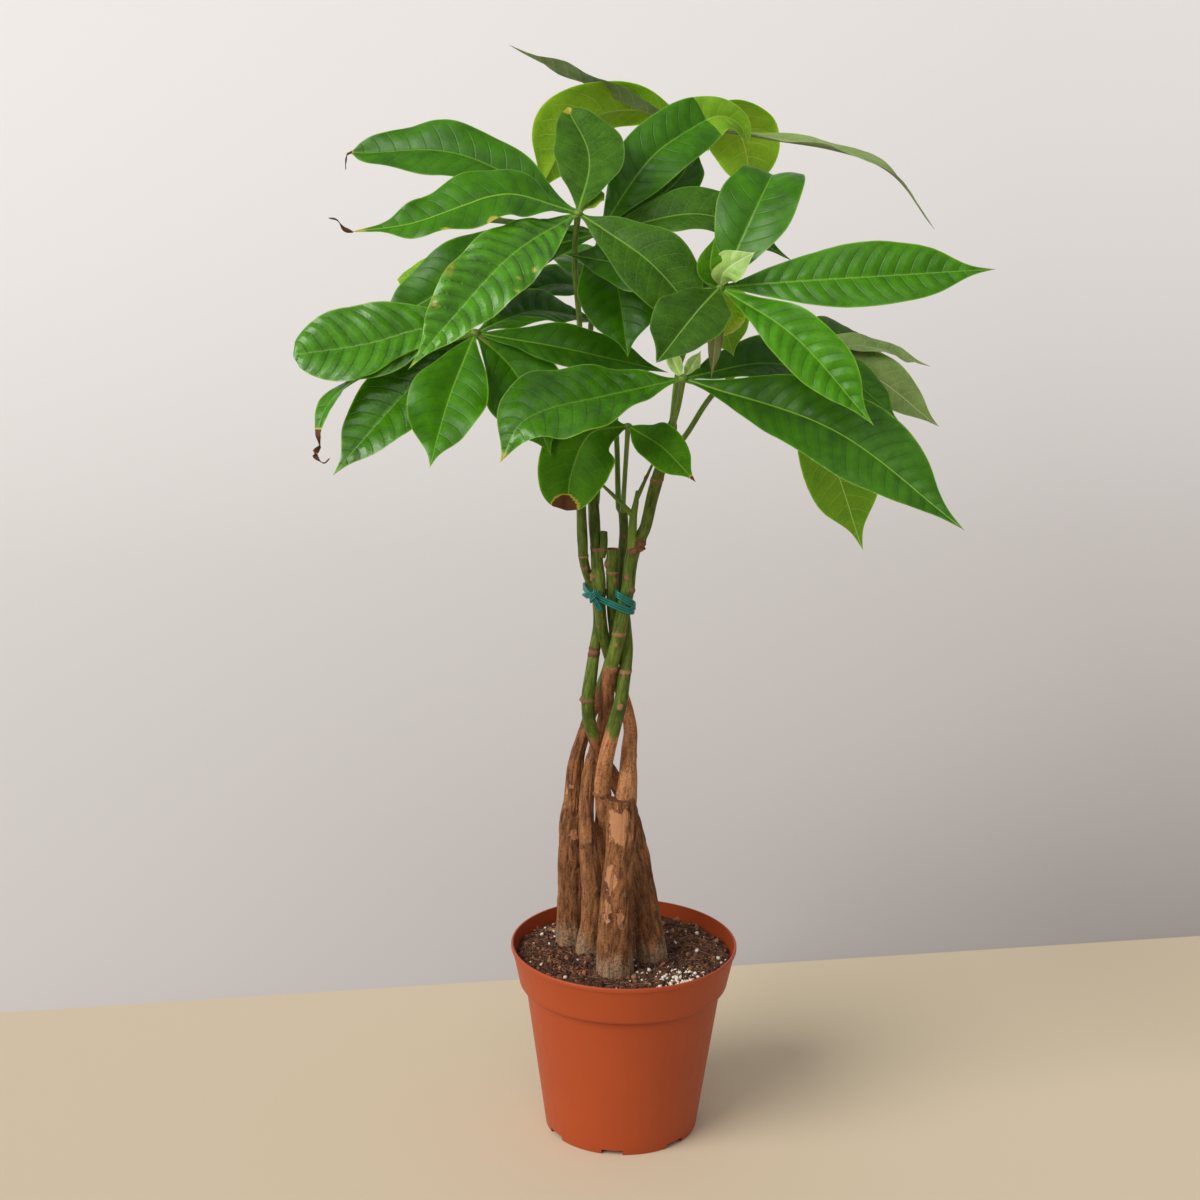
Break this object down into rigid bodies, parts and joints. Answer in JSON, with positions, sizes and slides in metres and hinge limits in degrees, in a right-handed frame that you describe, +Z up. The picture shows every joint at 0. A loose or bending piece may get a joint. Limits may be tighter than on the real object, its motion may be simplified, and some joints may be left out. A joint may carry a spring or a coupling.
{
  "type": "potted money tree",
  "caption": "Houseplant with braided bare stems held by a twist tie, palm-shaped leaves of long leaflets spreading from hubs, standing in a soil-filled round nursery pot.",
  "frame": {"origin": "middle of the pot's flat underside, on the surface it stands on", "axes": "+Z up along the stems, -Y towards the viewer of the picture, +X to the right"},
  "size_m": [0.4172, 0.3439, 0.7076],
  "materials": {
    "pot_plastic": "satin moulded polypropylene",
    "soil": "loose fibrous peat and bark with perlite grains",
    "bark": "fissured brown bark below, smooth green shoot above",
    "tie_plastic": "ribbed soft plastic over wire",
    "leaf_dull": "dull waxy living leaf",
    "leaf_bright": "glossy living leaf",
    "leaf_deep": "glossy deep green living leaf",
    "leaf_young": "thin yellow-green living leaf"
  },
  "bodies": {
    "root": {"pot": "pot_plastic", "soil": "soil", "stem_front": "bark", "stem_left_front": "bark", "stem_left": "bark", "stem_right": "bark", "stem_back": "bark", "twist_tie": "tie_plastic", "leaf_upper_left": "leaf_dull", "leaf_upper_middle": "leaf_bright", "leaf_right": "leaf_bright", "leaf_lower_right": "leaf_deep", "leaf_left": "leaf_deep", "leaf_top_rear": "leaf_young", "leaf_right_rear": "leaf_dull", "leaf_low_front": "leaf_young", "leaf_rear": "leaf_deep"}
  },
  "joints": []
}
